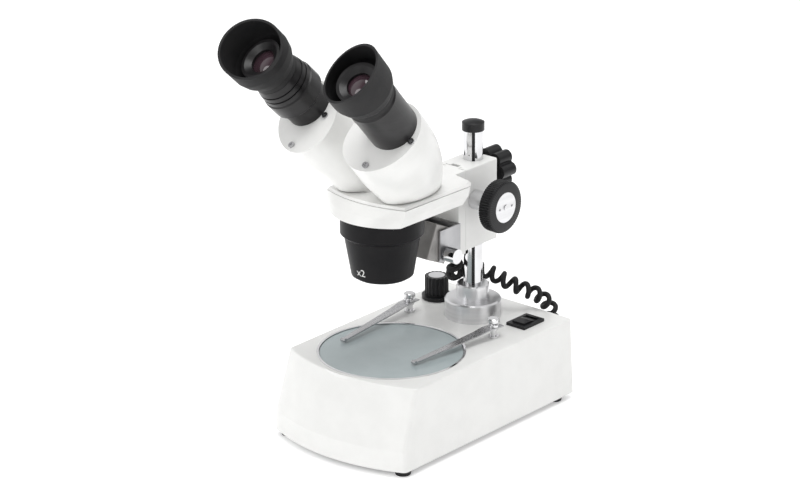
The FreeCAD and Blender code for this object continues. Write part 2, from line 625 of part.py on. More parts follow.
def turret():
    cup = turned(("1.6", "cone_low - 2.4", "cone_low - 0.5"),
                 ("turret_step - turret_low - 1.6", "cone_low", "cone_top"),
                 ("2.2", "cone_top", "turret_rad"),
                 ("head_low - 0.2 - turret_step - 2.2 - 0.8", "turret_rad", "turret_rad"),
                 ("0.8", "turret_rad", "turret_rad - 0.8"))
    journal = rod("journal_rad", "3.8", z="head_low - 0.2 - turret_low")
    hollow = cone("cone_low - cup_wall - 2", "cone_top - cup_wall", "34", z="4")
    spots = [("objective_off", "0"), ("-objective_off", "0"), ("0", "objective_off"), ("0", "-objective_off")]
    holes = [rod("objective_rad", "60", x, y, "-5") for x, y in spots]
    part(cut(fuse(cup, journal), hollow, *holes), "turret_cup", "0", "stage_y - turret_front",
         TOP + " + turret_low")
    barrels, lenses = [], []
    for (x, y), long in zip(spots, ("22", "22", "28", "28")):
        barrels.append(cut(rod("objective_rad", long, x, y), rod("objective_rad - 1.2", "50", x, y, "-5")))
        lenses.append(rod("objective_rad - 1.2", "3", x, y, "1.2"))
    where = ("0", "stage_y - turret_front", TOP + " + turret_low + 0.6")
    part(group(*barrels), "objective_barrels", *where)
    part(group(*lenses), "objective_lenses", *where)


def lamp():
    at = ("0", "stage_y + lamp_pivot_back", TOP + " + lamp_pivot_up")
    tilt = (V(1, 0, 0), -n("lamp_tilt"))
    offset = "-lamp_deep / 2 + 4"
    shell = box("2 * lamp_half", "lamp_deep", "lamp_long", "0", offset, "-lamp_long / 2 + 5")
    inner = box("2 * lamp_half - 2 * lamp_wall", "lamp_deep - 2 * lamp_wall", "lamp_long - lamp_wall",
                "0", offset, "-lamp_long / 2 + 5 - 0.5")
    walls = round_edges(shell, 1.2, lambda e: e.BoundBox.ZLength > 15)
    axle = x_rod("2.1", "80", "-40")
    part(cut(walls, inner, axle), "lamp_housing", *at, *tilt)
    pane = box("2 * lamp_half - 2 * lamp_wall", "lamp_deep - 2 * lamp_wall", "1.5", "0", offset,
               "-lamp_long / 2 + 5.3")
    part(group(pane), "lamp_glass", *at, *tilt)
    bulb = fuse(rod("5.5", "9", "0", offset, "-lamp_long / 2 + 8"),
                rod("3", "lamp_long - 18", "0", offset, "-lamp_long / 2 + 16.8"))
    part(cut(bulb, x_rod("2.1", "80", "-40")), "lamp_bulb", *at, *tilt)
    web_back = "seam_back - slide_gap - slide_thick - lamp_pivot_back"
    ears = []
    for side in ("-1", "1"):
        ears.append(box("ear_thick", web_back + " + 6", "22", "%s * (ear_gap + ear_thick / 2)" % side,
                        "(%s) / 2 - 3" % web_back, "-5"))
    web = box("2 * ear_gap + 2 * ear_thick", "ear_thick", "22", "0", web_back + " - ear_thick / 2", "-5")
    bracket = cut(fuse(*ears, web), x_rod("2.1", "80", "-40"))
    part(bracket, "lamp_bracket", *at)
    screw = x_rod("2.05", "2 * ear_gap + 2 * ear_thick + 3", "-ear_gap - ear_thick - 1")
    head_z = x_rod("lamp_knob_rad", "8", "ear_gap + ear_thick + 1.6")
    nut = x_rod("3.6", "2", "-ear_gap - ear_thick - 2.2")
    part(fuse(screw, x_rod("3.2", "1.6", "ear_gap + ear_thick + 0.1"), head_z, nut), "lamp_knob", *at)


# ---------------------------------------------------------------- prism housings and eyepieces
def tube_frame(side, along=0.0):
    """Where an eyepiece tube's own frame sits: +Z out along the tube, +X level, +Y up the slope."""
    splay, incline = math.radians(n("splay")), math.radians(n("incline"))
    axis = V(side * math.sin(splay) * math.cos(incline), -math.cos(splay) * math.cos(incline),
             math.sin(incline))
    level = V(math.cos(splay), side * math.sin(splay), 0)
    slope = axis.cross(level)
    origin = V(side * n("face_side"), n("stage_y") - n("face_front"),
               n("foot_high") + n("base_high") + n("face_up"))
    return App.Placement(origin + axis * along, App.Rotation(level, slope, axis))


def ellipse_wire(centre, wide_axis, long_axis, wide, long):
    """An ellipse from its centre and its two half axes, the longer one given first to the curve."""
    if long >= wide:
        curve = Part.Ellipse(centre + long_axis * long, centre - wide_axis * wide, centre)
    else:
        curve = Part.Ellipse(centre + wide_axis * wide, centre + long_axis * long, centre)
    return Part.Wire(curve.toShape())


def pod_loft():
    """The right-hand housing: an oblong section under the end plate that turns down to a level foot."""
    frame = tube_frame(1, -n("end_thick"))
    level = frame.Rotation.multVec(V(1, 0, 0))
    slope = frame.Rotation.multVec(V(0, 1, 0))
    axis = frame.Rotation.multVec(V(0, 0, 1))
    roll = math.radians(n("pod_roll"))
    long_axis = slope * math.cos(roll) + level * math.sin(roll)
    wide_axis = level * math.cos(roll) - slope * math.sin(roll)
    middle = frame.Base - level * n("pod_off_side") - slope * n("pod_off_down")
    foot = V(n("foot_x"), n("stage_y") + n("foot_y"),
             n("foot_high") + n("base_high") + n("cover_up") + n("pod_gap"))
    foot_turn = math.radians(n("splay"))
    foot_long = V(-math.sin(foot_turn), math.cos(foot_turn), 0)
    foot_wide = V(math.cos(foot_turn), math.sin(foot_turn), 0)
    major, minor = n("pod_major"), n("pod_minor")
    wires = [ellipse_wire(middle, wide_axis, long_axis, minor, major),
             ellipse_wire(middle - axis * 12, wide_axis, long_axis, minor, major)]
    for share in (0.45, 0.75):
        swell = V(0, 1.5, 1.0) * math.sin(math.pi * share)
        centre = (middle - axis * 12) * (1 - share) + foot * share + swell
        tilt_long = (long_axis * (1 - share) + foot_long * share).normalize()
        tilt_wide = wide_axis * (1 - share) + foot_wide * share
        tilt_wide = (tilt_wide - tilt_long * tilt_wide.dot(tilt_long)).normalize()
        wide = minor * (1 - share) + n("foot_half_wide") * share + 1.0
        long = major * (1 - share) + n("foot_half_long") * share
        wires.append(ellipse_wire(centre, tilt_wide, tilt_long, wide, long))
    wires.append(ellipse_wire(foot, foot_wide, foot_long, n("foot_half_wide"), n("foot_half_long")))
    return Part.makeLoft(wires, True, False)


SCREW_SPOTS = ((-7.0, -29.0), (16.9, -7.5), (-18.6, -3.0))


def screw_holes(deep):
    return [rod("1.3", deep, "%g" % x, "%g" % y, "-(%s)" % deep) for x, y in SCREW_SPOTS]


def in_frame(obj, side, along=0.0):
    obj.Placement = tube_frame(side, along)
    return obj


def end_plate():
    """The end plate in the tube's frame: the pod's own ellipse, bored for the tube."""
    roll = math.radians(n("pod_roll"))
    centre = V(-n("pod_off_side"), -n("pod_off_down"), -n("end_thick"))
    wire = ellipse_wire(centre, V(math.cos(roll), -math.sin(roll), 0), V(math.sin(roll), math.cos(roll), 0),
                        n("pod_minor"), n("pod_major"))
    slab = feature("Slab", Part.Face(wire).extrude(V(0, 0, n("end_thick"))))
    return cut(slab, rod("left_tube_bore - 1", "20", z="-10"), *screw_holes("end_thick"))


def housings():
    under = box("200", "200", "40", "0", "stage_y", TOP + " + cover_up + pod_gap - 40")
    outer = cut(feature("Housing", pod_loft()), under)
    swivel = rod("swivel_rad", "swivel_deep + 6", "objective_off", "stage_y - turret_front",
                 TOP + " + cover_up - swivel_deep")
    light = rod("objective_rad", "30", "objective_off", "stage_y - turret_front", TOP + " + cover_up - 20")
    well = in_frame(rod("left_tube_bore - 1", "12"), 1, -n("end_thick") - 12)
    chamber = in_frame(group(box("20", "20", "18", "0", "-9", "-31")), 1)
    holes = in_frame(fuse(*screw_holes("end_thick + 5")), 1)
    right = part(cut(fuse(outer, swivel), light, well, chamber, holes), "prism_housing_right", None)
    part(mirrored(right), "prism_housing_left", None)
    wedge = [(-9.6, -30.5), (9.6, -30.5), (9.6, -14.8), (3.0, -14.8)]
    glass = feature("Wedge", prism([(x, -18.6, z) for x, z in wedge], (0, 19.2, 0)))
    prism_right = part(in_frame(fuse(glass), 1), "prism_right", None)
    part(mirrored(prism_right), "prism_left", None)
    plate_right = part(in_frame(end_plate(), 1), "end_plate_right", None)
    part(mirrored(plate_right), "end_plate_left", None)
    heads = []
    for x, y in SCREW_SPOTS:
        shank = rod("1.3", "end_thick + 5", "%g" % x, "%g" % y, "-end_thick - 5")
        button = rod("2.1", "1.1", "%g" % x, "%g" % y)
        cross = (box("2.6", "0.6", "2", "%g" % x, "%g" % y, "0.5"),
                 box("0.6", "2.6", "2", "%g" % x, "%g" % y, "0.5"))
        heads.append(cut(fuse(shank, button), *cross))
    screws = part(in_frame(group(*heads), 1), "plate_screws_right", None)
    part(mirrored(screws), "plate_screws_left", None)


def eye_tubes():
    tube = cut(rod("tube_rad", "tube_long"), rod("tube_bore", "tube_long", z="1.5"),
               rod("left_tube_bore - 1", "10", z="-1"))
    part(in_frame(tube, 1), "eye_tube_right", None)
    left = cut(rod("left_tube_rad", "left_tube_long"), rod("left_tube_bore", "40", z="1.5"),
               rod("left_tube_bore - 1", "10", z="-1"))
    part(in_frame(left, -1), "eye_tube_left", None)
    grip = turned(("0.8", "diopter_rad - 0.8", "diopter_rad"),
                  ("diopter_high - diopter_low - 1.6", "diopter_rad", "diopter_rad"),
                  ("0.8", "diopter_rad", "diopter_rad - 0.8"))
    bore = rod("left_tube_rad + run_gap", "60", z="-5")
    part(in_frame(cut(grip, bore), -1, n("diopter_low")), "diopter_ring", None)


def eyepiece(side, barrel_rad, low, seat, end, collar):
    """Barrel, shoulder and lens cell along the tube's axis; collar gives the shoulder's steps."""
    name = "right" if side > 0 else "left"
    barrel = rod("%g" % barrel_rad, "%g" % (seat - low), z="%g" % low)
    shoulder = place(turned(*collar), "0", "0", "%g" % seat)
    cell_from = seat + sum(float(step[0]) for step in collar)
    cell = rod("14.4", "%g" % (end - cell_from), z="%g" % cell_from)
    tools = (rod("12", "%g" % (end - 8), z="-1"), rod("lens_rad + 0.4", "20", z="%g" % (end - 12)),
             cone("lens_rad + 0.4", "12.5", "2.6", z="%g" % (end - 2.5)))
    part(in_frame(cut(fuse(barrel, shoulder, cell), *tools), side), "eyepiece_" + name, None)
    ball = doc.addObject("Part::Sphere", "Ball")
    bind(ball, Radius="18")
    place(ball, z="%g - 18" % (end - 2.4))
    lens = common(ball, rod("lens_rad + 0.4", "4.6", z="%g" % (end - 7)))
    part(in_frame(lens, side), "eye_lens_" + name, None)


def eyecup(side, profile, low_rim, high_rim):
    """A rubber cup turned about the tube's axis, its rim cut on a slope that rises to the temple side."""
    points = [V(r, 0, z) for z, r in profile]
    points += [V(r - n("cup_thick"), 0, z) for z, r in reversed(profile[1:])]
    points += [V(14.5, 0, profile[1][0]), V(14.5, 0, profile[0][0])]
    face = Part.Face(Part.makePolygon(points + points[:1]))
    cup = feature("Cup", face.revolve(V(0, 0, 0), V(0, 0, 1), 360))
    far = 30.0
    rise = (high_rim - low_rim) / 42.0
    middle = (high_rim + low_rim) / 2
    wedge = [(-far, -far, middle - side * rise * far), (far, -far, middle + side * rise * far),
             (far, -far, 120.0), (-far, -far, 120.0)]
    trim = feature("Trim", prism(wedge, (0, 2 * far, 0)))
    part(in_frame(cut(cup, trim), side), "eyecup_right" if side > 0 else "eyecup_left", None)


def eyepieces():
    eyepiece(1, 15.25, 3.0, 27.2, 55.0, (("7.3", "16.5", "16.5"), ("1.5", "16.5", "15.4")))
    eyepiece(-1, 14.75, 4.8, 25.3, 54.5,
             (("3", "17.6", "17.3"), ("1.2", "16.6", "16.6"), ("3", "17.2", "16.8"), ("1.2", "16.2", "16.2"),
              ("4", "16.6", "15.6")))
    eyecup(1, ((36.3, 16.0), (40.0, 16.3), (45.0, 19.2), (50.0, 20.8), (80.0, 21.4)), 58.5, 74.5)
    eyecup(-1, ((38.0, 15.6), (42.0, 16.2), (48.0, 19.4), (54.0, 20.9), (80.0, 21.3)), 59.0, 72.0)


# ---------------------------------------------------------------- curly cord
# Points from the strain relief under the focus block to the gland behind the base,
# counted from the stage axis and the base's top face.
CORD_ROUTE = (
    (-6.5, 72.8, 45.6), (-6.5, 72.8, 35.6), (-11.6, 77.8, 27.6), (-17.0, 87.2, 27.0), (-12.6, 98.6, 26.4),
    (-1.0, 103.4, 24.6), (11.0, 104.4, 21.2), (21.6, 110.4, 16.0), (28.4, 121.0, 9.8), (32.0, 130.0, -1.6),
    (32.0, 130.0, -12.0),
)


def cord_path(points):
    """Straight runs joined by the largest tangent arcs that the runs allow."""
    edges, last = [], points[0]
    for before, here, after in zip(points, points[1:], points[2:]):
        a, b = before - here, after - here
        half_turn = (math.pi - a.getAngle(b)) / 2
        back = 0.45 * min(a.Length, b.Length)
        rad = back / math.tan(half_turn)
        start, end = here + a.normalize() * back, here + b.normalize() * back
        middle_dir = (a + b).normalize()
        centre = here + middle_dir * (rad / math.cos(half_turn))
        edges.append(Part.LineSegment(last, start).toShape())
        edges.append(Part.Arc(start, centre - middle_dir * rad, end).toShape())
        print("cord bend radius %.1f" % rad)
        last = end
    edges.append(Part.LineSegment(last, points[-1]).toShape())
    return Part.Wire(edges)


def cord():
    origin = V(0, n("stage_y"), n("foot_high") + n("base_high"))
    path = cord_path([origin + V(*p) for p in CORD_ROUTE])
    start = path.Edges[0]
    direction = start.tangentAt(start.FirstParameter)
    section = Part.Wire(Part.makeCircle(n("coil_rad"), start.valueAt(start.FirstParameter), direction))
    tube = path.makePipeShell([section], True, True)
    ideal = math.pi * n("coil_rad") ** 2 * path.Length
    print("cord tube volume %.0f, section times length %.0f, route %.0f mm"
          % (tube.Volume, ideal, path.Length))
    part(feature("CurlyCord", tube), "curly_cord", None)
    relief = turned(("3.2", "coil_rad", "coil_rad - 0.5"), ("3.0", "4.2", "5.0"), ("3.2", "5.8", "5.8"))
    part(relief, "cord_relief", "-relief_side", "stage_y + relief_back", TOP + " + relief_low")


base_shell()
base_cover()
stage()
clip("clip_left", "-1", n("clip_left_turn"))
clip("clip_right", "1", -n("clip_right_turn"))
pillar()
dimmer()
switch()
inside_base()
focus_block()
focus_drive()
clamp()
head()
turret()
lamp()
housings()
eye_tubes()
eyepieces()
cord()
doc.recompute()

# ---------------------------------------------------------------- check and write
failed = ["%s in %s" % (o.Name, [p.Label for p in o.InListRecursive if p in PARTS])
          for o in doc.Objects if "Invalid" in o.State or "Error" in o.State]
failed += [o.Label for o in PARTS if o.Shape.isNull() or not o.Shape.isValid()]
if failed:
    print("failed:", failed)
    sys.exit(1)
os.makedirs("parts", exist_ok=True)
for obj in PARTS:
    obj.Shape.exportStep("parts/%s.step" % obj.Label)
whole = Part.makeCompound([o.Shape for o in PARTS]).BoundBox
print("parts %d, x %.1f..%.1f, y %.1f..%.1f, z %.1f..%.1f" % (
    len(PARTS), whole.XMin, whole.XMax, whole.YMin, whole.YMax, whole.ZMin, whole.ZMax))
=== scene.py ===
import math

import bmesh
import bpy
from mathutils import Matrix, Vector


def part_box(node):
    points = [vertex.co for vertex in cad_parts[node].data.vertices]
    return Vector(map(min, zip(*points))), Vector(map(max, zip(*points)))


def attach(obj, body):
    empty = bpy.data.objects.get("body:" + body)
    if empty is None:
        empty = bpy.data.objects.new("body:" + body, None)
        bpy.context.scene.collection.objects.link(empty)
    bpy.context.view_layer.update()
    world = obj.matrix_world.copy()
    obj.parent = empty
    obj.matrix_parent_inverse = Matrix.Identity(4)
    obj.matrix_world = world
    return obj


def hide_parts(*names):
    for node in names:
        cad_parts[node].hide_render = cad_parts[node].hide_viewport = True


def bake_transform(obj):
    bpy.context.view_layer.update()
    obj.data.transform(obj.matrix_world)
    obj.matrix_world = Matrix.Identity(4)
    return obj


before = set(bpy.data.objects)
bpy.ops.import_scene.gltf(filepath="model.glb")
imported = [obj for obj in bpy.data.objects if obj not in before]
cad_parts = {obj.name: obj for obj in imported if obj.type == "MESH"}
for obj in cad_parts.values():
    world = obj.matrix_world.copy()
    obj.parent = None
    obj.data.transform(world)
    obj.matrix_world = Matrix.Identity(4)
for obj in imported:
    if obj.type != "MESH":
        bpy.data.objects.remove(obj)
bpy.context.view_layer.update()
MM = 0.001

# ------------------------------------------------------------------ places taken from the frame


def middle(node):
    """The middle of a node's box."""
    low, high = (Vector(c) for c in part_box(node))
    return (low + high) / 2


# the stage axis on the base's top face, which stands a little above the glass plate
PLATE_SUNK = 0.3 * MM
STAGE = middle("stage_plate")
STAGE.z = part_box("stage_plate")[1][2] + PLATE_SUNK


def from_stage(x, y, z):
    """A point given in millimetres from the stage axis and the base's top face."""
    return STAGE + Vector((x, y, z)) * MM


# ------------------------------------------------------------------ materials


def ramp(nodes, stops):
    """A colour ramp with these stops, each a position and a colour."""
    node = nodes.new("ShaderNodeValToRGB")
    while len(node.color_ramp.elements) < len(stops):
        node.color_ramp.elements.new(0.5)
    for element, (at, colour) in zip(node.color_ramp.elements, stops):
        element.position = at
        element.color = (*colour, 1.0)
    return node


def noise(nodes, links, coords, scale, detail=3.0, rough=0.55):
    """A noise texture read at the given coordinates."""
    node = nodes.new("ShaderNodeTexNoise")
    node.inputs["Scale"].default_value = scale
    node.inputs["Detail"].default_value = detail
    node.inputs["Roughness"].default_value = rough
    links.new(coords, node.inputs["Vector"])
    return node


def material(name, dark, light, rough, metal=0.0, patch=60.0, grain=1500.0, bump=0.05, depth=0.05,
             stretch=(1, 1, 1), **uniform):
    """Two tones mixed by broad noise, roughness that varies with it, and a fine bump."""
    mat = bpy.data.materials.new(name)
    mat.use_nodes = True
    nodes, links = mat.node_tree.nodes, mat.node_tree.links
    shader = nodes["Principled BSDF"]
    shader.inputs["Metallic"].default_value = metal
    for socket, value in uniform.items():
        shader.inputs[socket.replace("_", " ")].default_value = value
    place = nodes.new("ShaderNodeTexCoord")
    mapping = nodes.new("ShaderNodeMapping")
    mapping.inputs["Scale"].default_value = stretch
    links.new(place.outputs["Object"], mapping.inputs["Vector"])
    coords = mapping.outputs["Vector"]
    broad = noise(nodes, links, coords, patch)
    tones = ramp(nodes, [(0.35, dark), (0.65, light)])
    links.new(broad.outputs["Fac"], tones.inputs["Fac"])
    links.new(tones.outputs["Color"], shader.inputs["Base Color"])
    gloss = nodes.new("ShaderNodeMapRange")
    gloss.inputs["To Min"].default_value = rough[0]
    gloss.inputs["To Max"].default_value = rough[1]
    fine = noise(nodes, links, coords, grain, 4.0)
    links.new(fine.outputs["Fac"], gloss.inputs["Value"])
    links.new(gloss.outputs["Result"], shader.inputs["Roughness"])
    relief = nodes.new("ShaderNodeBump")
    relief.inputs["Strength"].default_value = bump
    relief.inputs["Distance"].default_value = depth * MM
    links.new(fine.outputs["Fac"], relief.inputs["Height"])
    links.new(relief.outputs["Normal"], shader.inputs["Normal"])
    return mat


ENAMEL = material("white_enamel", (0.78, 0.78, 0.765), (0.81, 0.81, 0.795), (0.26, 0.36), grain=900.0,
                  Coat_Weight=0.2, Coat_Roughness=0.18)
SATIN_BLACK = material("satin_black", (0.006, 0.006, 0.007), (0.009, 0.0085, 0.0095), (0.34, 0.48),
                       bump=0.12, Specular_IOR_Level=0.13)
TUBE_BLACK = material("anodised_black", (0.010, 0.0095, 0.010), (0.016, 0.015, 0.016), (0.24, 0.36),
                      bump=0.1, stretch=(1, 1, 6), Specular_IOR_Level=0.34)
RUBBER = material("eyecup_rubber", (0.010, 0.010, 0.011), (0.017, 0.0165, 0.017), (0.5, 0.7), grain=1800.0,
                  bump=0.25, depth=0.06, Specular_IOR_Level=0.25)
CHROME = material("chrome", (0.62, 0.62, 0.63), (0.72, 0.72, 0.73), (0.05, 0.12), metal=1.0, bump=0.02)
TURNED = material("turned_aluminium", (0.68, 0.68, 0.69), (0.78, 0.78, 0.79), (0.24, 0.38), metal=1.0,
                  grain=1400.0, stretch=(0.2, 0.2, 4.0), bump=0.12)
STEEL = material("spring_steel", (0.42, 0.42, 0.43), (0.52, 0.52, 0.53), (0.2, 0.34), metal=1.0,
                 stretch=(4, 0.3, 4), bump=0.1)
SATIN_STEEL = material("satin_steel", (0.36, 0.36, 0.37), (0.46, 0.46, 0.47), (0.28, 0.42), metal=1.0,
                       bump=0.1)
BLACK_PLASTIC = material("black_plastic", (0.009, 0.009, 0.010), (0.014, 0.014, 0.015), (0.26, 0.4),
                         grain=2200.0, bump=0.12, Specular_IOR_Level=0.28)
FROSTED = material("frosted_plate", (0.36, 0.42, 0.43), (0.39, 0.45, 0.46), (0.3, 0.42), grain=3000.0,
                   bump=0.1, Coat_Weight=0.3, Coat_Roughness=0.2)
LAMP_GREY = material("lamp_grey", (0.30, 0.29, 0.28), (0.38, 0.37, 0.36), (0.3, 0.45), metal=0.3, bump=0.1)
GLASS = material("coated_lens", (0.030, 0.016, 0.020), (0.055, 0.030, 0.040), (0.02, 0.05), bump=0.0,
                 Coat_Weight=0.6, Coat_Roughness=0.02, IOR=1.5)
COPPER = material("winding", (0.35, 0.2, 0.1), (0.5, 0.3, 0.16), (0.3, 0.5), metal=0.8)
PALE_PRINT = material("pale_print", (0.62, 0.62, 0.61), (0.70, 0.70, 0.69), (0.4, 0.5), bump=0.02)

FINISHES = {
    ENAMEL: ["base_shell", "head_plate", "head_cover", "prism_housing_left", "prism_housing_right",
             "end_plate_left", "end_plate_right", "focus_block", "head_slide"],
    SATIN_BLACK: ["turret_cup", "objective_barrels"],
    TUBE_BLACK: ["eye_tube_left", "eye_tube_right", "eyepiece_left", "eyepiece_right", "diopter_ring"],
    RUBBER: ["eyecup_left", "eyecup_right", "rubber_feet", "curly_cord", "cord_gland", "cord_relief"],
    CHROME: ["pillar", "clip_posts", "lamp_knob", "cover_screws", "stage_ring"],
    TURNED: ["pillar_flange", "pillar_collar", "knob_hubs", "dimmer_cap"],
    STEEL: ["clip_left", "clip_right", "plate_screws_left", "plate_screws_right"],
    SATIN_STEEL: ["focus_shaft", "focus_rack", "clamp_screw", "pillar_nut", "dimmer_pot", "base_lamp",
                  "lamp_bracket"],
    BLACK_PLASTIC: ["pillar_cap", "clamp_knob", "dimmer_knob", "focus_knobs", "switch_bezel", "rocker",
                    "power_inlet", "base_cover"],
    FROSTED: ["stage_plate", "lamp_glass"],
    LAMP_GREY: ["lamp_housing"],
    GLASS: ["eye_lens_left", "eye_lens_right", "objective_lenses", "prism_left", "prism_right",
            "lamp_bulb"],
    COPPER: ["transformer"],
}
for finish, names in FINISHES.items():
    for name in names:
        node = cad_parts[name]
        node.data.materials.clear()
        node.data.materials.append(finish)


# ------------------------------------------------------------------ making pieces


def piece(name, mesh, finish, body, matrix=None, smooth=35.0):
    """A new object from a bmesh, shaded smooth but for its sharp edges, riding on a body."""
    data = bpy.data.meshes.new(name)
    bmesh.ops.recalc_face_normals(mesh, faces=mesh.faces[:])
    for edge in mesh.edges:
        if len(edge.link_faces) == 2 and edge.calc_face_angle(0) > math.radians(smooth):
            edge.smooth = False
    for face in mesh.faces:
        face.smooth = True
    mesh.to_mesh(data)
    mesh.free()
    obj = bpy.data.objects.new(name, data)
    bpy.context.scene.collection.objects.link(obj)
    data.materials.append(finish)
    if matrix is not None:
        obj.matrix_world = matrix
    if body:
        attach(obj, body)
    return obj


# ------------------------------------------------------------------ curly cord
# The route's points, from the relief under the focus block to the gland behind the base.
CORD_ROUTE = (
    (-6.5, 72.8, 45.6), (-6.5, 72.8, 35.6), (-11.6, 77.8, 27.6), (-17.0, 87.2, 27.0), (-12.6, 98.6, 26.4),
    (-1.0, 103.4, 24.6), (11.0, 104.4, 21.2), (21.6, 110.4, 16.0), (28.4, 121.0, 9.8), (32.0, 130.0, -1.6),
    (32.0, 130.0, -12.0),
)
WIRE = 1.75 * MM          # the wire's radius
COIL = 5.7 * MM - WIRE    # from the route to the wire's own centre
TURNS = 14
STEPS = 20                # points on each turn


def route_points():
    """The cord's centre line, read from a NURBS spline through the route."""
    curve = bpy.data.curves.new("route", "CURVE")
    curve.dimensions = "3D"
    spline = curve.splines.new("NURBS")
    spline.points.add(len(CORD_ROUTE) - 1)
    for point, place in zip(spline.points, CORD_ROUTE):
        point.co = (*from_stage(*place), 1.0)
    spline.order_u = 3
    spline.use_endpoint_u = True
    curve.resolution_u = 24
    holder = bpy.data.objects.new("route", curve)
    bpy.context.scene.collection.objects.link(holder)
    mesh = bpy.data.meshes.new_from_object(holder)
    points = [v.co.copy() for v in mesh.vertices]
    bpy.data.objects.remove(holder)
    bpy.data.meshes.remove(mesh)
    return points


def at_length(points, share):
    """The point and direction at a share of a polyline's length."""
    lengths = [(b - a).length for a, b in zip(points, points[1:])]
    left = share * sum(lengths)
    for a, b, length in zip(points, points[1:], lengths):
        if left <= length or b is points[-1]:
            return a.lerp(b, left / length), (b - a).normalized()
        left -= length


def helix_points():
    """The wire's own line: turns of one size round the route."""
    points = route_points()
    count = TURNS * STEPS
    line, side = [], None
    for i in range(count + 1):
        here, ahead = at_length(points, i / count)
        side = side or Vector((1, 0, 0))
        side = (side - ahead * side.dot(ahead)).normalized()
        angle = 2 * math.pi * i / STEPS
        line.append(here + (side * math.cos(angle) + ahead.cross(side) * math.sin(angle)) * COIL)
    return line


def swept(line, radius, ring=12):
    """A round tube along a line of points, closed at both ends."""
    mesh = bmesh.new()
    side, rings = None, []
    for i, here in enumerate(line):
        ahead = (line[min(i + 1, len(line) - 1)] - line[max(i - 1, 0)]).normalized()
        side = side or ahead.orthogonal()
        side = (side - ahead * side.dot(ahead)).normalized()
        across = ahead.cross(side)
        spots = [2 * math.pi * k / ring for k in range(ring)]
        rings.append([mesh.verts.new(here + (side * math.cos(t) + across * math.sin(t)) * radius)
                      for t in spots])
    for low, high in zip(rings, rings[1:]):
        for k in range(ring):
            mesh.faces.new((low[k], low[k - 1], high[k - 1], high[k]))
    mesh.faces.new(rings[0])
    mesh.faces.new(list(reversed(rings[-1])))
    return mesh


cord_line = helix_points()
cord = piece("curly_cord_coils", swept(cord_line, WIRE), RUBBER, None)
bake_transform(cord)
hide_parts("curly_cord")

# ------------------------------------------------------------------ focus knobs with fine ribs
RIBS = 64
RIB_STEPS = 4
# each ring of a knob in millimetres: depth behind the outer face, radius, depth of the gaps between ribs
KNOB_PROFILE = (
    (9.2, 6.5, 0.0), (9.2, 16.4, 0.0), (8.6, 17.35, 0.3), (1.2, 17.6, 0.55), (0.5, 17.1, 0.3),
    (0.0, 16.2, 0.0), (0.0, 10.2, 0.0), (1.0, 10.2, 0.0), (1.0, 6.5, 0.0),
)


def ribbed_knob(mesh, side):
    """One ribbed knob round the focus shaft's axis, its outer face where the CAD knob's is."""
    knob_low, knob_high = (Vector(c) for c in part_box("focus_knobs"))
    axis_y, axis_z = (knob_low.y + knob_high.y) / 2, (knob_low.z + knob_high.z) / 2
    face = knob_high.x
    count = RIBS * RIB_STEPS
    rings = []
    for back, rad, deep in KNOB_PROFILE:
        ring = []
        for k in range(count):
            angle = 2 * math.pi * k / count
            out = (rad - (deep if k % RIB_STEPS in (0, 1) else 0.0)) * MM
            ring.append(mesh.verts.new((side * (face - back * MM), axis_y + out * math.cos(angle),
                                        axis_z + out * math.sin(angle))))
        rings.append(ring)
    for low, high in zip(rings, rings[1:] + rings[:1]):
        for k in range(count):
            mesh.faces.new((low[k], low[k - 1], high[k - 1], high[k]))


knobs = bmesh.new()
ribbed_knob(knobs, 1)
ribbed_knob(knobs, -1)
grips = piece("focus_knob_grips", knobs, BLACK_PLASTIC, "focus_drive", smooth=30.0)
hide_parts("focus_knobs")

# ------------------------------------------------------------------ dark line down the pillar's keyway


def slab(mesh, wide, deep, low, high, matrix):
    """A closed box about the matrix's own z axis, from low to high along it."""
    made = bmesh.ops.create_cube(mesh, size=1.0)
    for vert in made["verts"]:
        x, y, z = vert.co
        vert.co = matrix @ Vector((x * wide, y * deep, low + (z + 0.5) * (high - low)))


KEY_ANGLE = 41.0 - 90.0      # degrees from +X to the keyway
KEY_FLOOR = 5.5 * MM         # from the pillar's axis to the strip's middle, just over the keyway's floor
STRIP_WIDE = 2.1 * MM
STRIP_THICK = 0.24 * MM
STRIP_LOW = 24.0 * MM        # clear of the collar
STRIP_TOP_GAP = 1.0 * MM
pillar_low, pillar_high = (Vector(c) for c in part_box("pillar"))
pillar_axis = (pillar_low + pillar_high) / 2
pillar_axis.z = STAGE.z
key_turn = Matrix.Translation(pillar_axis) @ Matrix.Rotation(math.radians(KEY_ANGLE), 4, "Z")
strip = bmesh.new()
slab(strip, STRIP_THICK, STRIP_WIDE, STRIP_LOW, pillar_high.z - STAGE.z - STRIP_TOP_GAP,
     key_turn @ Matrix.Translation((KEY_FLOOR, 0, 0)))
piece("keyway_shadow_strip", strip, BLACK_PLASTIC, "base")

# ------------------------------------------------------------------ magnification figure on the turret


FIGURE_SIZE = 7.0 * MM
FIGURE_THICK = 0.12 * MM
FIGURE_SUNK = 0.05 * MM      # how far the figure's back is let into the cup
FIGURE_UP = 5.0 * MM         # from the cup's lower rim to the figure's base line
# the cup's conical part: where it starts above the rim, its height and its lower and upper radius
CONE_UP, CONE_HIGH, CONE_LOW_RAD, CONE_TOP_RAD = (v * MM for v in (1.6, 26.4, 20.3, 24.8))


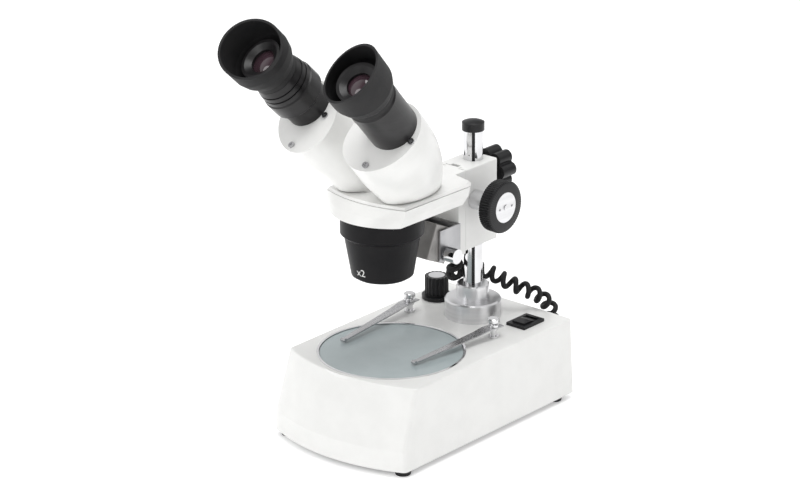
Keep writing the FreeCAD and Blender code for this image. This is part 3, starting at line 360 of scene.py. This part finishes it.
def turret_figure():
    """A small raised "x2" wrapped round the cup, facing the user."""
    curve = bpy.data.curves.new("figure", "FONT")
    curve.body = "x2"
    curve.size = FIGURE_SIZE
    curve.align_x = "CENTER"
    holder = bpy.data.objects.new("figure", curve)
    bpy.context.scene.collection.objects.link(holder)
    flat = bpy.data.meshes.new_from_object(holder)
    bpy.data.objects.remove(holder)
    mesh = bmesh.new()
    mesh.from_mesh(flat)
    bpy.data.meshes.remove(flat)
    bmesh.ops.remove_doubles(mesh, verts=mesh.verts[:], dist=0.001 * MM)
    bmesh.ops.triangulate(mesh, faces=mesh.faces[:])
    made = bmesh.ops.extrude_face_region(mesh, geom=mesh.faces[:])
    for vert in made["geom"]:
        if isinstance(vert, bmesh.types.BMVert):
            vert.co.z += FIGURE_THICK
    cup_low, cup_high = (Vector(c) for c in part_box("turret_cup"))
    axis = (cup_low + cup_high) / 2
    for vert in mesh.verts:
        up = cup_low.z + FIGURE_UP + vert.co.y
        share = (up - cup_low.z - CONE_UP) / CONE_HIGH
        rad = CONE_LOW_RAD + (CONE_TOP_RAD - CONE_LOW_RAD) * share - FIGURE_SUNK + vert.co.z
        angle = -math.pi / 2 + vert.co.x / rad
        vert.co = Vector((axis.x + rad * math.cos(angle), axis.y + rad * math.sin(angle), up))
    piece("turret_figure", mesh, PALE_PRINT, "turret")


turret_figure()

# ------------------------------------------------------------------ floor, light and camera


FLOOR_HALF = 6.0
FLOOR_GLOW = 0.32            # lifts the floor to the white of a lit paper sweep
WORLD_STRENGTH = 0.95
# grey levels of the studio's walls from -X to +X: white with two dark bands
WALL_BANDS = ((0.0, 0.92), (0.2, 0.9), (0.38, 0.16), (0.5, 0.95), (0.72, 0.85), (0.86, 0.22), (1.0, 0.64))
# each lamp: name, place from the middle of the object in metres, diameter, power
LAMPS = (
    ("key", (-0.5, -1.7, 1.2), 1.2, 10.0),
    ("top", (0.1, 0.1, 2.0), 1.5, 23.0),
    ("fill", (1.8, -0.5, 0.7), 1.4, 3.5),
)
MIDDLE_UP = 0.08
CAMERA_ANGLES = (40.8, 20.4, -0.4)     # azimuth, elevation and roll in degrees
CAMERA_TARGET = (0, 9.35, 67.56)       # millimetres from the stage axis and the base's top face
CAMERA_AWAY = 2.0
CAMERA_LENS = 138.6
CAMERA_SENSOR = 36.0


def floor():
    """A pale floor that reaches far past the view."""
    mesh = bmesh.new()
    bmesh.ops.create_grid(mesh, x_segments=8, y_segments=8, size=FLOOR_HALF)
    finish = material("pale_floor", (0.86, 0.86, 0.86), (0.88, 0.88, 0.88), (0.6, 0.7), patch=2.0,
                      grain=40.0, bump=0.01, Emission_Color=(1.0, 1.0, 1.0, 1.0),
                      Emission_Strength=FLOOR_GLOW)
    obj = piece("floor", mesh, finish, None)


def area_light(name, place, size, power, target):
    """A round soft lamp that faces the target."""
    data = bpy.data.lights.new(name, "AREA")
    data.shape = "DISK"
    data.size = size
    data.energy = power
    obj = bpy.data.objects.new(name, data)
    bpy.context.scene.collection.objects.link(obj)
    obj.location = place
    obj.rotation_euler = (Vector(target) - Vector(place)).to_track_quat("-Z", "Y").to_euler()


def lighting():
    """A white studio whose walls have darker bands, so that metal shows dark and bright streaks."""
    world = bpy.data.worlds.new("studio")
    bpy.context.scene.world = world
    world.use_nodes = True
    nodes, links = world.node_tree.nodes, world.node_tree.links
    place = nodes.new("ShaderNodeTexCoord")
    split = nodes.new("ShaderNodeSeparateXYZ")
    links.new(place.outputs["Generated"], split.inputs["Vector"])
    shift = nodes.new("ShaderNodeMapRange")
    shift.inputs["From Min"].default_value = -1.0
    links.new(split.outputs["X"], shift.inputs["Value"])
    bands = ramp(nodes, [(at, (grey,) * 3) for at, grey in WALL_BANDS])
    links.new(shift.outputs["Result"], bands.inputs["Fac"])
    background = nodes["Background"]
    background.inputs["Strength"].default_value = WORLD_STRENGTH
    links.new(bands.outputs["Color"], background.inputs["Color"])
    centre = STAGE + Vector((0, 0, MIDDLE_UP))
    for name, place, size, power in LAMPS:
        area_light(name, centre + Vector(place), size, power, centre)


def camera():
    """The camera, which looks at its target from the given azimuth and elevation."""
    azimuth, elevation, roll = (math.radians(a) for a in CAMERA_ANGLES)
    toward = Vector((math.sin(azimuth) * math.cos(elevation), -math.cos(azimuth) * math.cos(elevation),
                     math.sin(elevation)))
    right = (-toward).cross(Vector((0, 0, 1))).normalized()
    up = right.cross(-toward)
    x_axis = right * math.cos(roll) + up * math.sin(roll)
    y_axis = up * math.cos(roll) - right * math.sin(roll)
    data = bpy.data.cameras.new("camera")
    data.sensor_width = CAMERA_SENSOR
    data.lens = CAMERA_LENS
    obj = bpy.data.objects.new("camera", data)
    bpy.context.scene.collection.objects.link(obj)
    turn = Matrix((x_axis, y_axis, toward)).transposed().to_4x4()
    obj.matrix_world = Matrix.Translation(from_stage(*CAMERA_TARGET) + toward * CAMERA_AWAY) @ turn
    data.clip_start, data.clip_end = 0.05, 30.0
    bpy.context.scene.camera = obj


floor()
lighting()
camera()
bpy.context.scene.view_settings.view_transform = "Standard"
